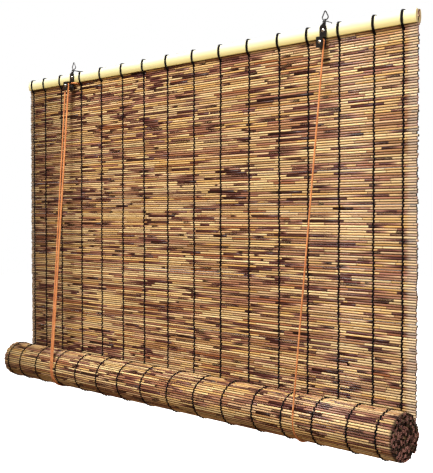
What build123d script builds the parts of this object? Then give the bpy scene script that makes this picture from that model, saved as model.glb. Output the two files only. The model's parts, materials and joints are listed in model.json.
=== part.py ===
"""A reed roll-up blind, partly rolled up and hung from two wire loops.

The frame has +X along the blind's width, -Y to the front and +Z up. The origin is halfway between the two
hanging loops, at the height where a hook bears on the inside of their tips.
"""

import os
from math import acos, asin, atan2, cos, pi, radians, sin, sqrt

from build123d import *

os.makedirs("parts", exist_ok=True)

# Blind and head
BLIND_WIDTH = 1200.0
HEAD_HEIGHT = 24.3
SLAT_THICKNESS = 7.0
SLAT_EDGE_THICKNESS = 4.6
SLAT_EDGE_RADIUS = 0.8
HEAD_DROP = 27.3

# Reed mat
REED_DIAMETER = 4.4
REED_PITCH = 4.8
WEB_THICKNESS = 1.4
CREST_SHARES = (0.27, 0.73)
HANGING_DROP = 753.6
MAT_TOP_INSET = 0.6
GAP_HEIGHT = 0.7
SHORTEST_GAP = 18.0
LONGEST_GAP = 64.0
GAP_COUNT = 96
GAP_PLACE_SHARE = 0.618034
GAP_ROW_SHARE = 0.414214
GAP_LENGTH_SHARE = 0.381966

# Roll
ROLL_RADIUS = 46.5
TURN_GAP = 0.5
CORE_RADIUS = 5.5
ROLL_OVERHANG = 5.0

# Binding strings, placed by shares of half the hanger spacing and of the overhang past each hanger
STRING_WIDTH = 2.6
STRING_THICKNESS = 0.9
STRING_RISE = 6.0
RING_END_ANGLE = 340.0
RING_ARCS = 11
INNER_STRING_SHARES = (-0.93, -0.725, -0.52, -0.325, -0.12, 0.095, 0.3, 0.505, 0.71, 0.895)
LEFT_STRING_SHARES = (0.92, 0.65, 0.29)
RIGHT_STRING_SHARES = (0.16, 0.55, 0.86)

# Hanger loops and straps
HANGER_SPACING = 800.0
LOOP_WIDTH = 16.0
LOOP_HEIGHT = 19.0
LOOP_WIRE = 2.2
LOOP_TIP_RADIUS = 1.3
LOOP_LOBE_RADIUS = 4.4
LOOP_SETBACK = 5.6
SHANK_DIAMETER = 4.6
TAB_WIDTH = 7.0
TAB_THICKNESS = 2.0
TAB_END = 4.5
TAB_LAP_SHARE = 0.25
STRAP_WIDTH = 16.0
STRAP_THICKNESS = 1.4
STRAP_RISE = 2.0
STRAP_RIVET_DROP = 10.3

# Pulleys
HOUSING_HEIGHT = 21.7
HOUSING_WIDTH = 16.0
HOUSING_SHEET = 1.0
HOUSING_CORNER_RADIUS = 4.0
AXLE_DROP = 9.2
WHEEL_WIDTH = 8.4
WHEEL_RIM_RADIUS = 7.2
WHEEL_RIM_WIDTH = 1.2
WHEEL_GROOVE_RADIUS = 5.0
LEFT_WHEELS = 2
RIGHT_WHEELS = 1

# Rivets
RIVET_DIAMETER = 4.0
RIVET_HEAD_DIAMETER = 7.4
RIVET_HEAD_HEIGHT = 2.0
RIVET_TAIL_HEIGHT = 0.6

# Tie wires
TIE_WIRE = 1.6
TIE_BEND_RADIUS = 2.4
TIE_COLLAR_HEIGHT = 3.4
TIE_COLLAR_WALL = 1.1
TIE_COLLAR_PLACE_SHARE = 0.5
RIGHT_TIE_TAIL = 9.0

# Lift cords
CORD_DIAMETER = 3.5
CORD_BEND_RADIUS = 6.0
CORD_SPACING = 3.9
CORD_INSET = 12.0
LEFT_STRANDS = 3
RIGHT_STRANDS = 1
CORD_LIFT_ANGLE = 12.0
CORD_END_GAP = 0.6
CORD_HOLE_CLEARANCE = 0.6
KNOT_DIAMETER = 8.0
KNOT_END_LENGTH = 1.2
KNOT_EDGE_RADIUS = 2.6

# Fits and cuts
RUNNING_CLEARANCE = 0.05
SEAT_CLEARANCE = 0.1
BODY_CLEARANCE = 0.3
CUT_OVERRUN = 5.0

# Head, mat and roll stations
head_top = -HEAD_DROP
head_bottom = head_top - HEAD_HEIGHT
head_middle = head_top - HEAD_HEIGHT / 2
reed_radius = REED_DIAMETER / 2
slat_inner = reed_radius + SEAT_CLEARANCE
slat_outer = slat_inner + SLAT_THICKNESS
tab_back = slat_outer + BODY_CLEARANCE
tab_middle = tab_back + TAB_THICKNESS / 2
strap_back = tab_back + max(TAB_THICKNESS, TIE_WIRE) + SEAT_CLEARANCE
mat_y = tab_middle - LOOP_SETBACK
mat_top = head_top - MAT_TOP_INSET
hanging_reeds = round((HANGING_DROP - MAT_TOP_INSET) / REED_PITCH)
mat_bottom = mat_top - hanging_reeds * REED_PITCH
turn_pitch = REED_DIAMETER + TURN_GAP
coil_radius = ROLL_RADIUS - reed_radius
roll_y = mat_y - coil_radius
roll_z = mat_bottom - BODY_CLEARANCE
roll_width = BLIND_WIDTH + 2 * ROLL_OVERHANG
string_face = reed_radius + SEAT_CLEARANCE

# Hanger and pulley stations
hanger_reach = HANGER_SPACING / 2
hanger_x = {"left": -hanger_reach, "right": hanger_reach}
wheel_counts = {"left": LEFT_WHEELS, "right": RIGHT_WHEELS}
tab_back_y = mat_y - tab_back
strap_back_y = mat_y - strap_back
strap_front_y = strap_back_y - STRAP_THICKNESS
strap_top = head_top + STRAP_RISE
strap_rivet_z = head_top - STRAP_RIVET_DROP
tab_top = strap_top + TAB_LAP_SHARE * SHANK_DIAMETER
tab_bottom = strap_rivet_z - TAB_END
housing_top = head_bottom + HOUSING_SHEET
housing_bottom = housing_top - HOUSING_HEIGHT
axle_z = head_bottom - AXLE_DROP
wheel_pitch = WHEEL_WIDTH + BODY_CLEARANCE
rivet_hole_radius = RIVET_DIAMETER / 2 + RUNNING_CLEARANCE

# Tie wire and cord stations
tie_offset = TAB_WIDTH / 2 + BODY_CLEARANCE + TIE_WIRE / 2
tie_front_y = mat_y - slat_outer - BODY_CLEARANCE - TIE_WIRE / 2
tie_back_y = mat_y + slat_outer + SEAT_CLEARANCE + TIE_WIRE / 2
tie_low_z = head_bottom - BODY_CLEARANCE - TIE_WIRE / 2
cord_radius = CORD_DIAMETER / 2
lap_radius = WHEEL_GROOVE_RADIUS + cord_radius + RUNNING_CLEARANCE
bight_radius = ROLL_RADIUS + cord_radius + BODY_CLEARANCE
left_knot_length = LEFT_STRANDS * CORD_SPACING + 2 * KNOT_END_LENGTH
right_knot_length = RIGHT_STRANDS * CORD_SPACING + 2 * KNOT_END_LENGTH
knot_y = mat_y + reed_radius + BODY_CLEARANCE + KNOT_DIAMETER / 2
knot_z = tie_low_z - TIE_WIRE / 2 - SEAT_CLEARANCE - KNOT_DIAMETER / 2
cross_offset = tie_offset + left_knot_length / 2 + BODY_CLEARANCE + cord_radius
left_cross_x = hanger_x["left"] + cross_offset
right_cross_x = hanger_x["right"] - cross_offset
cross_y = tie_back_y + TIE_WIRE / 2 + BODY_CLEARANCE + cord_radius
cross_z = axle_z + lap_radius


def finish(part, name):
    """Label a finished piece and write it under its name."""
    part.label = name
    export_step(part, f"parts/{name}.step")


def string_places():
    """Return the X places of the binding strings, from left to right."""
    end_reach = BLIND_WIDTH / 2 - hanger_reach
    left = [-hanger_reach - share * end_reach for share in LEFT_STRING_SHARES]
    inner = [share * hanger_reach for share in INNER_STRING_SHARES]
    right = [hanger_reach + share * end_reach for share in RIGHT_STRING_SHARES]
    return left + inner + right


def wheel_y(number):
    """Return the middle plane of a pulley wheel, counted from the one nearest to the strap."""
    first = strap_front_y - HOUSING_SHEET - BODY_CLEARANCE - WHEEL_WIDTH / 2
    return first - number * wheel_pitch


def coil_point(turn_angle, offset):
    """Return the (Y, Z) place on the roll's spiral, offset outwards from its middle line."""
    radius = coil_radius - turn_pitch * turn_angle / (2 * pi) + offset
    return (roll_y + radius * cos(turn_angle), roll_z - radius * sin(turn_angle))


# Head slats: half-round split bamboo, flat side to the mat
for side, name in ((-1, "head_slat_front"), (1, "head_slat_back")):
    inner_y = mat_y + side * slat_inner
    edge_y = inner_y + side * SLAT_EDGE_THICKNESS
    outer_y = inner_y + side * SLAT_THICKNESS
    with BuildPart() as head_slat:
        with BuildSketch(Plane.YZ.offset(-BLIND_WIDTH / 2)):
            with BuildLine():
                Polyline(
                    (edge_y, head_bottom),
                    (inner_y, head_bottom),
                    (inner_y, head_top),
                    (edge_y, head_top),
                )
                ThreePointArc((edge_y, head_top), (outer_y, head_middle), (edge_y, head_bottom))
            make_face()
        extrude(amount=BLIND_WIDTH)
        long_edges = head_slat.edges().filter_by(Axis.X)
        fillet(long_edges.sort_by(Axis.Y, reverse=side > 0)[:2], SLAT_EDGE_RADIUS)
    finish(head_slat.part, name)


def gap_places():
    """Return the X and Z place and the length of each slit between two reeds, spread over the mat."""
    first_row = round((HEAD_HEIGHT + HOUSING_HEIGHT) / REED_PITCH)
    rows = hanging_reeds - first_row - 1
    reach = BLIND_WIDTH - 2 * LONGEST_GAP
    places = []
    for number in range(GAP_COUNT):
        x = reach * (number * GAP_PLACE_SHARE % 1) - reach / 2
        row = first_row + int(rows * (number * GAP_ROW_SHARE % 1))
        length = SHORTEST_GAP + (LONGEST_GAP - SHORTEST_GAP) * (number * GAP_LENGTH_SHARE % 1)
        places.append((x, mat_top - row * REED_PITCH, length))
    return places


def mat_face(face):
    """Return the (Y, Z) points down one face of the hanging mat, with a flat-topped ridge a reed."""
    points = [(mat_y + face * WEB_THICKNESS / 2, mat_top)]
    for reed in range(hanging_reeds):
        reed_top = mat_top - reed * REED_PITCH
        points += [(mat_y + face * reed_radius, reed_top - share * REED_PITCH) for share in CREST_SHARES]
        points.append((mat_y + face * WEB_THICKNESS / 2, reed_top - REED_PITCH))
    return points


# Hanging mat: one ridged wall, with a ridge on both faces for each reed
with BuildPart() as hanging_mat:
    with BuildSketch(Plane.YZ.offset(-BLIND_WIDTH / 2)):
        with BuildLine():
            Polyline(*mat_face(-1), *reversed(mat_face(1)), close=True)
        make_face()
    extrude(amount=BLIND_WIDTH)
    # Slits between reeds, and the holes that the cord and the tie wires pass through
    with BuildSketch(Plane.XZ.offset(-mat_y)):
        for x, z, length in gap_places():
            with Locations((x, z)):
                Rectangle(length, GAP_HEIGHT)
        with Locations((left_cross_x, cross_z), (right_cross_x, cross_z)):
            Circle(cord_radius + CORD_HOLE_CLEARANCE)
        with Locations(*[(x + tie_offset, tie_low_z) for x in hanger_x.values()]):
            Circle(TIE_WIRE / 2 + CORD_HOLE_CLEARANCE)
    extrude(amount=reed_radius + CUT_OVERRUN, both=True, mode=Mode.SUBTRACT)
finish(hanging_mat.part, "hanging_mat")

# Rolled mat: the same wall wound into a spiral, from the place where the hanging mat ends
valley_angles = [asin(BODY_CLEARANCE / coil_radius)]
turn_radius = coil_radius
while turn_radius > CORE_RADIUS:
    valley_angles.append(valley_angles[-1] + REED_PITCH / turn_radius)
    turn_radius = coil_radius - turn_pitch * valley_angles[-1] / (2 * pi)


def coil_face(face):
    """Return the (Y, Z) points along one face of the rolled mat, with a flat-topped ridge a reed."""
    points = [coil_point(valley_angles[0], face * WEB_THICKNESS / 2)]
    for start, end in zip(valley_angles, valley_angles[1:]):
        points += [coil_point(start + share * (end - start), face * reed_radius) for share in CREST_SHARES]
        points.append(coil_point(end, face * WEB_THICKNESS / 2))
    return points


with BuildPart() as rolled_mat:
    with BuildSketch(Plane.YZ.offset(-roll_width / 2)):
        with BuildLine():
            Polyline(*coil_face(-1), *reversed(coil_face(1)), close=True)
        make_face()
    extrude(amount=roll_width)
finish(rolled_mat.part, "rolled_mat")

# Binding strings on the hanging mat: a flat band down both faces, looped over the head
roll_surface = ROLL_RADIUS - turn_pitch / 2
string_depth = string_face + STRING_THICKNESS + BODY_CLEARANCE
front_end_z = roll_z + sqrt(roll_surface**2 - (coil_radius - string_depth) ** 2)
back_end_z = roll_z + BODY_CLEARANCE


def string_leg(face, end_z, layer):
    """Return the points of one leg of a string, from its low end to the top of the head."""
    edge = slat_inner + SLAT_EDGE_THICKNESS + SEAT_CLEARANCE
    return [
        (mat_y + face * (string_face + layer), end_z),
        (mat_y + face * (string_face + layer), head_bottom - STRING_RISE),
        (mat_y + face * (edge + layer), head_bottom - SEAT_CLEARANCE),
        (mat_y + face * (slat_outer + SEAT_CLEARANCE + layer), head_middle),
        (mat_y + face * (edge + layer), head_top + SEAT_CLEARANCE + layer),
    ]


for number, string_x in enumerate(string_places(), start=1):
    with BuildPart() as binding_string:
        with BuildSketch(Plane.YZ.offset(string_x - STRING_WIDTH / 2)):
            with BuildLine():
                for layer in (0, STRING_THICKNESS):
                    legs = [string_leg(-1, front_end_z, layer), string_leg(1, back_end_z, layer)]
                    for low, rise, edge, middle, top in legs:
                        Polyline(low, rise, edge)
                        ThreePointArc(edge, middle, top)
                    Line(legs[0][-1], legs[1][-1])
                for face, end_z in ((-1, front_end_z), (1, back_end_z)):
                    Line(string_leg(face, end_z, 0)[0], string_leg(face, end_z, STRING_THICKNESS)[0])
            make_face()
        extrude(amount=STRING_WIDTH)
    finish(binding_string.part, f"binding_string_{number:02d}")

# Binding strings on the roll's outer turn, one solid for each string
ring_start = 2 * valley_angles[0]
ring_step = (radians(RING_END_ANGLE) - ring_start) / RING_ARCS
ring_angles = [ring_start + step * ring_step for step in range(RING_ARCS + 1)]
ring_layers = (string_face, string_face + STRING_THICKNESS)
with BuildPart() as roll_strings:
    for string_x in string_places():
        with BuildSketch(Plane.YZ.offset(string_x - STRING_WIDTH / 2)):
            with BuildLine():
                for layer in ring_layers:
                    for start, end in zip(ring_angles, ring_angles[1:]):
                        ThreePointArc(
                            coil_point(start, layer),
                            coil_point((start + end) / 2, layer),
                            coil_point(end, layer),
                        )
                for angle in (ring_angles[0], ring_angles[-1]):
                    Line(coil_point(angle, ring_layers[0]), coil_point(angle, ring_layers[1]))
            make_face()
        extrude(amount=STRING_WIDTH)
finish(roll_strings.part, "roll_strings")

# Hanger loops: a pear-shaped wire loop, a leaning shank and a flat tab that is riveted to the strap
loop_half_width = (LOOP_WIDTH - LOOP_WIRE) / 2
loop_top_z = LOOP_WIRE / 2
loop_low_z = loop_top_z + LOOP_WIRE - LOOP_HEIGHT
tip_centre = Vector(0, 0, loop_top_z - LOOP_TIP_RADIUS)
lobe_centre = Vector(loop_half_width - LOOP_LOBE_RADIUS, 0, loop_low_z + LOOP_LOBE_RADIUS)
lobe_line = lobe_centre - tip_centre
lobe_turn = acos((LOOP_TIP_RADIUS - LOOP_LOBE_RADIUS) / lobe_line.length)
side_angle = atan2(lobe_line.Z, lobe_line.X) + lobe_turn
shank_top = Vector(0, 0, loop_low_z)
shank_line = Vector(0, mat_y - tab_middle, tab_top) - shank_top


def bend_point(centre, radius, angle):
    """Return the point of a bend in the loop at an angle from +X."""
    return centre + Vector(cos(angle), 0, sin(angle)) * radius


loop_half = [
    shank_top,
    bend_point(lobe_centre, LOOP_LOBE_RADIUS, -pi / 2),
    bend_point(lobe_centre, LOOP_LOBE_RADIUS, (side_angle - pi / 2) / 2),
    bend_point(lobe_centre, LOOP_LOBE_RADIUS, side_angle),
    bend_point(tip_centre, LOOP_TIP_RADIUS, side_angle),
    bend_point(tip_centre, LOOP_TIP_RADIUS, (side_angle + pi / 2) / 2),
    bend_point(tip_centre, LOOP_TIP_RADIUS, pi / 2),
]
for side, x in hanger_x.items():
    with BuildPart() as hanger_loop:
        with BuildLine() as loop_path:
            for hand in (-1, 1):
                low, lobe_low, lobe_middle, lobe_side, tip_side, tip_middle, tip = [
                    Vector(x + hand * point.X, point.Y, point.Z) for point in loop_half
                ]
                Line(low, lobe_low)
                ThreePointArc(lobe_low, lobe_middle, lobe_side)
                Line(lobe_side, tip_side)
                ThreePointArc(tip_side, tip_middle, tip)
        loop_wire = loop_path.wires()[0]
        with BuildSketch(Plane(origin=loop_wire @ 0, z_dir=loop_wire % 0)):
            Circle(LOOP_WIRE / 2)
        sweep(path=loop_wire)
        with BuildSketch(Plane(origin=shank_top + Vector(x, 0, 0), z_dir=shank_line)):
            Circle(SHANK_DIAMETER / 2)
        extrude(amount=shank_line.length)
        with BuildSketch(Plane.XZ.offset(-tab_back_y)):
            with Locations((x, (tab_top + tab_bottom) / 2)):
                Rectangle(TAB_WIDTH, tab_top - tab_bottom)
        extrude(amount=TAB_THICKNESS)
        with BuildSketch(Plane.XZ.offset(-tab_back_y)):
            with Locations((x, strap_rivet_z)):
                Circle(rivet_hole_radius)
        extrude(amount=CUT_OVERRUN, both=True, mode=Mode.SUBTRACT)
    finish(hanger_loop.part, f"hanger_loop_{side}")

# Hanger straps: a flat plate with a round top, behind the pulley housing
for side, x in hanger_x.items():
    shoulder_z = strap_top - STRAP_WIDTH / 2
    left_x = x - STRAP_WIDTH / 2
    right_x = x + STRAP_WIDTH / 2
    with BuildPart() as hanger_strap:
        with BuildSketch(Plane.XZ.offset(-strap_back_y)) as strap_outline:
            with BuildLine():
                Polyline(
                    (left_x, shoulder_z),
                    (left_x, housing_bottom),
                    (right_x, housing_bottom),
                    (right_x, shoulder_z),
                )
                ThreePointArc((right_x, shoulder_z), (x, strap_top), (left_x, shoulder_z))
            make_face()
            fillet(strap_outline.vertices().group_by(Axis.Y)[0], HOUSING_CORNER_RADIUS)
            with Locations((x, strap_rivet_z), (x, axle_z)):
                Circle(rivet_hole_radius, mode=Mode.SUBTRACT)
        extrude(amount=STRAP_THICKNESS)
    finish(hanger_strap.part, f"hanger_strap_{side}")

# Pulley housings: sheet folded into an upside-down U round the wheels
for side, x in hanger_x.items():
    inner_depth = wheel_counts[side] * wheel_pitch + BODY_CLEARANCE
    outer_depth = inner_depth + 2 * HOUSING_SHEET
    middle_y = strap_front_y - outer_depth / 2
    with BuildPart() as pulley_housing:
        with BuildSketch(Plane.YZ.offset(x - HOUSING_WIDTH / 2)):
            with Locations((middle_y, housing_top - HOUSING_HEIGHT / 2)):
                Rectangle(outer_depth, HOUSING_HEIGHT)
            with Locations((middle_y, housing_top - HOUSING_HEIGHT / 2 - HOUSING_SHEET)):
                Rectangle(inner_depth, HOUSING_HEIGHT, mode=Mode.SUBTRACT)
        extrude(amount=HOUSING_WIDTH)
        fillet(pulley_housing.edges().filter_by(Axis.Y).group_by(Axis.Z)[0], HOUSING_CORNER_RADIUS)
        fold_edge = pulley_housing.edges().filter_by(Axis.X).group_by(Axis.Z)[-1].sort_by(Axis.Y)[0]
        fillet(fold_edge, HOUSING_SHEET)
        with BuildSketch(Plane.XZ.offset(-strap_front_y)):
            with Locations((x, axle_z)):
                Circle(rivet_hole_radius)
        extrude(amount=outer_depth, mode=Mode.SUBTRACT)
    finish(pulley_housing.part, f"pulley_housing_{side}")

# Pulley wheels: turned with a round groove
wheel_places = {
    "pulley_wheel_left_front": ("left", 1),
    "pulley_wheel_left_back": ("left", 0),
    "pulley_wheel_right": ("right", 0),
}
for name, (side, number) in wheel_places.items():
    x = hanger_x[side]
    middle_y = wheel_y(number)
    near_y = middle_y - WHEEL_WIDTH / 2
    far_y = middle_y + WHEEL_WIDTH / 2
    rim_x = x + WHEEL_RIM_RADIUS
    with BuildPart() as pulley_wheel:
        with BuildSketch(Plane.XY.offset(axle_z)):
            with BuildLine():
                Polyline((x + rivet_hole_radius, near_y), (rim_x, near_y), (rim_x, near_y + WHEEL_RIM_WIDTH))
                ThreePointArc(
                    (rim_x, near_y + WHEEL_RIM_WIDTH),
                    (x + WHEEL_GROOVE_RADIUS, middle_y),
                    (rim_x, far_y - WHEEL_RIM_WIDTH),
                )
                Polyline((rim_x, far_y - WHEEL_RIM_WIDTH), (rim_x, far_y), (x + rivet_hole_radius, far_y))
                Line((x + rivet_hole_radius, far_y), (x + rivet_hole_radius, near_y))
            make_face()
        revolve(axis=Axis((x, 0, axle_z), (0, 1, 0)))
    finish(pulley_wheel.part, name)


def build_rivet(name, x, z, front_y, back_y, tail_height):
    """Write one rivet: a domed head in front, a shank, and a low tail where there is room for one."""
    head_radius = RIVET_HEAD_DIAMETER / 2
    dome_radius = (head_radius**2 + RIVET_HEAD_HEIGHT**2) / (2 * RIVET_HEAD_HEIGHT)
    dome_centre_y = front_y - RIVET_HEAD_HEIGHT + dome_radius
    half_angle = asin(head_radius / dome_radius) / 2
    with BuildPart() as rivet:
        with BuildSketch(Plane.XY.offset(z)):
            with BuildLine():
                ThreePointArc(
                    (x, front_y - RIVET_HEAD_HEIGHT),
                    (x + dome_radius * sin(half_angle), dome_centre_y - dome_radius * cos(half_angle)),
                    (x + head_radius, front_y),
                )
                Polyline((x + head_radius, front_y), (x, front_y), (x, front_y - RIVET_HEAD_HEIGHT))
            make_face()
        revolve(axis=Axis((x, 0, z), (0, 1, 0)))
        with BuildSketch(Plane.XZ.offset(-back_y)):
            with Locations((x, z)):
                Circle(RIVET_DIAMETER / 2)
        extrude(amount=back_y - front_y)
        if tail_height:
            with BuildSketch(Plane.XZ.offset(-back_y)):
                with Locations((x, z)):
                    Circle(head_radius)
            extrude(amount=-tail_height)
    finish(rivet.part, name)


for side, x in hanger_x.items():
    inner_depth = wheel_counts[side] * wheel_pitch + BODY_CLEARANCE
    housing_front_y = strap_front_y - inner_depth - 2 * HOUSING_SHEET
    build_rivet(f"strap_rivet_{side}", x, strap_rivet_z, strap_front_y, tab_back_y, 0)
    build_rivet(f"axle_rivet_{side}", x, axle_z, housing_front_y, strap_back_y, RIVET_TAIL_HEIGHT)

# Tie wires: a wire round the head beside the tab, wound round the shank, with a tail along the head
collar_middle = shank_top + shank_line * TIE_COLLAR_PLACE_SHARE
collar_start = collar_middle - shank_line.normalized() * (TIE_COLLAR_HEIGHT / 2)
collar_inner = SHANK_DIAMETER / 2 + RUNNING_CLEARANCE
collar_outer = collar_inner + TIE_COLLAR_WALL
tie_top_z = collar_middle.Z
next_string_x = string_places()[len(LEFT_STRING_SHARES)]
tie_tails = {
    "left": (next_string_x - STRING_WIDTH / 2 - SEAT_CLEARANCE, head_top + BODY_CLEARANCE + TIE_WIRE / 2),
    "right": (hanger_x["right"] + RIGHT_TIE_TAIL, tie_top_z - TIE_WIRE / 2),
}
for side, x in hanger_x.items():
    tail_x, tail_z = tie_tails[side]
    tail_start = Vector(x + (collar_inner + collar_outer) / 2, collar_middle.Y, tie_top_z)
    tail_line = Vector(tail_x, collar_middle.Y, tail_z) - tail_start
    with BuildPart() as tie_wire:
        with BuildLine() as tie_path:
            FilletPolyline(
                (x + tie_offset, mat_y, tie_low_z),
                (x + tie_offset, tie_back_y, tie_low_z),
                (x + tie_offset, tie_back_y, tie_top_z),
                (x + tie_offset, tie_front_y, tie_top_z),
                (x + tie_offset, tie_front_y, tie_low_z),
                (x + tie_offset, mat_y - slat_inner, tie_low_z),
                radius=TIE_BEND_RADIUS,
            )
        with BuildSketch(Plane(origin=(x + tie_offset, mat_y, tie_low_z), z_dir=(0, 1, 0))):
            Circle(TIE_WIRE / 2)
        sweep(path=tie_path.wires()[0])
        with BuildSketch(Plane(origin=collar_start + Vector(x, 0, 0), z_dir=shank_line)):
            Circle(collar_outer)
            Circle(collar_inner, mode=Mode.SUBTRACT)
        extrude(amount=TIE_COLLAR_HEIGHT)
        with BuildSketch(Plane(origin=tail_start, z_dir=tail_line)):
            Circle(TIE_WIRE / 2)
        extrude(amount=tail_line.length)
    finish(tie_wire.part, f"tie_wire_{side}")


def build_run(name, start, end):
    """Write one taut stretch of cord between two points, with its ends a little short of them."""
    line = end - start
    with BuildPart() as run:
        with BuildSketch(Plane(origin=start + line.normalized() * CORD_END_GAP, z_dir=line)):
            Circle(cord_radius)
        extrude(amount=line.length - 2 * CORD_END_GAP)
    finish(run.part, name)


# Lift cords and tails: up the front, under the roll and up the back to a knot on the tie wire
left_x = hanger_x["left"]
right_x = hanger_x["right"]
left_roll_x = left_x + CORD_INSET
right_roll_x = right_x - CORD_INSET
strands = {
    "cord_left": (left_x - lap_radius, wheel_y(1), left_roll_x - CORD_SPACING, -CORD_SPACING, left_x),
    "right_tail": (left_x - lap_radius, wheel_y(0), left_roll_x, 0, left_x),
    "left_tail": (left_x + lap_radius, wheel_y(1), left_roll_x + CORD_SPACING, CORD_SPACING, left_x),
    "cord_right": (right_x + lap_radius, wheel_y(0), right_roll_x, 0, right_x),
}
lift_angle = radians(CORD_LIFT_ANGLE)
for name, (top_x, top_y, roll_x, knot_shift, strand_hanger_x) in strands.items():
    front_y = roll_y - bight_radius * cos(lift_angle)
    front_z = roll_z + bight_radius * sin(lift_angle)
    back_y = roll_y + bight_radius
    knot_end = Vector(strand_hanger_x + tie_offset + knot_shift, knot_y, knot_z - KNOT_DIAMETER / 2)
    build_run(f"{name}_front", Vector(top_x, top_y, axle_z), Vector(roll_x, front_y, front_z))
    build_run(f"{name}_back", Vector(roll_x, back_y, roll_z), knot_end)
    with BuildPart() as bight:
        with BuildSketch(Plane.XY.offset(roll_z)):
            with Locations((roll_x, back_y)):
                Circle(cord_radius)
        revolve(axis=Axis((0, roll_y, roll_z), (-1, 0, 0)), revolution_arc=180 + CORD_LIFT_ANGLE)
    finish(bight.part, f"{name}_bight")

# The left cord over the front wheel
with BuildPart() as left_lap:
    with BuildSketch(Plane.XY.offset(axle_z)):
        with Locations((left_x - lap_radius, wheel_y(1))):
            Circle(cord_radius)
    revolve(axis=Axis((left_x, 0, axle_z), (0, 1, 0)), revolution_arc=180)
finish(left_lap.part, "cord_left_over_wheel")

# The right cord over its wheel, through the mat, along the back and over the left back wheel
cross_points = (
    (right_x + lap_radius, wheel_y(0), axle_z),
    (right_x + lap_radius, wheel_y(0), cross_z),
    (right_cross_x, wheel_y(0), cross_z),
    (right_cross_x, cross_y, cross_z),
    (left_cross_x, cross_y, cross_z),
    (left_cross_x, wheel_y(0), cross_z),
    (left_x - lap_radius, wheel_y(0), cross_z),
    (left_x - lap_radius, wheel_y(0), axle_z),
)
lap_bend = lap_radius - RUNNING_CLEARANCE
cross_radii = [lap_bend, *[CORD_BEND_RADIUS for corner in cross_points[2:-2]], lap_bend]
with BuildPart() as cross_cord:
    with BuildLine() as cross_path:
        FilletPolyline(*cross_points, radius=cross_radii)
    with BuildSketch(Plane(origin=cross_points[0], z_dir=(0, 0, 1))):
        Circle(cord_radius)
    sweep(path=cross_path.wires()[0])
finish(cross_cord.part, "cord_right_crossing")
cross_share = cross_cord.part.volume / (pi * cord_radius**2 * cross_path.wires()[0].length)
print("crossing cord bend radii", cross_radii, "volume over section times length", round(cross_share, 5))

# Knots under the tie wires
knot_lengths = {"left": left_knot_length, "right": right_knot_length}
for side, x in hanger_x.items():
    with BuildPart() as knot:
        with BuildSketch(Plane.YZ.offset(x + tie_offset - knot_lengths[side] / 2)):
            with Locations((knot_y, knot_z)):
                Circle(KNOT_DIAMETER / 2)
        extrude(amount=knot_lengths[side])
        fillet(knot.edges().filter_by(GeomType.CIRCLE), KNOT_EDGE_RADIUS)
    finish(knot.part, f"knot_{side}")
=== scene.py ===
"""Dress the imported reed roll-up blind and light it in a plain studio.

The reeds, binding strings and lift cords are modelled here. The head and the hangers keep their CAD shapes.
All lengths are in metres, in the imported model's frame: +X along the width, -Y to the front, +Z up.
"""

import json
import logging
import math
import random
from dataclasses import dataclass, field
from enum import Enum
from typing import Dict, Iterable, List, Optional, Sequence, Tuple, Union

import bmesh
import bpy
from mathutils import Matrix, Vector


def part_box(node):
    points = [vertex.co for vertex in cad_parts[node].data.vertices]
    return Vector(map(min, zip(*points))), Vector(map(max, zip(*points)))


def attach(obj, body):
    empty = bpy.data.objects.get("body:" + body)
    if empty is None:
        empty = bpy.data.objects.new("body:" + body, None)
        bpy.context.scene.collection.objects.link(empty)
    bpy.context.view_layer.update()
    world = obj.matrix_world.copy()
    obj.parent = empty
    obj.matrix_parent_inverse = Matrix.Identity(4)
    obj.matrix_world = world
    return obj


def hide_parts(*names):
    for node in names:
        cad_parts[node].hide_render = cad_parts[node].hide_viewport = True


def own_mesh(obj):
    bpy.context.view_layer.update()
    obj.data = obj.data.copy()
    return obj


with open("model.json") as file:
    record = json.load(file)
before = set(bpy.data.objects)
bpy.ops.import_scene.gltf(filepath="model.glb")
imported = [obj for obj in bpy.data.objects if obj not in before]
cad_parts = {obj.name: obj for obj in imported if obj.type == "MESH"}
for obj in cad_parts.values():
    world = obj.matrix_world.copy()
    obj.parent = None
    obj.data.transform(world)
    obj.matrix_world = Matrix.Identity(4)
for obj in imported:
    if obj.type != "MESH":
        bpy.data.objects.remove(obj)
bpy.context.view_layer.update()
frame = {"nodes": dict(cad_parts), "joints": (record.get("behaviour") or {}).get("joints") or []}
LOG = logging.getLogger("reed_blind")

IMAGE_LONG_SIDE = 473
REED_LAYERS = ("reed_seed", "reed_valley", "reed_sheath")
CAP_NORMAL = 0.9
MERGE_DISTANCE = 0.00001

Colour = Tuple[float, float, float, float]
Span = Tuple[float, float]
Triple = Tuple[float, float, float]
Material = bpy.types.Material
Mesh = bpy.types.Mesh
Piece = bpy.types.Object
Socket = bpy.types.NodeSocket
Value = Union[float, Sequence[float], Socket]
Inputs = Dict[Union[str, int], Value]

WHITE: Colour = (1.0, 1.0, 1.0, 1.0)


def srgb(red: int, green: int, blue: int) -> Colour:
    """Return a display colour as the linear colour that shaders take.

    Args:
        red: Red from 0 to 255.
        green: Green from 0 to 255.
        blue: Blue from 0 to 255.

    Returns:
        The linear red, green, blue and alpha.
    """
    linear = []
    for channel in (red, green, blue):
        share = channel / 255
        linear.append(share / 12.92 if share <= 0.04045 else ((share + 0.055) / 1.055) ** 2.4)
    return (*linear, 1.0)


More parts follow.
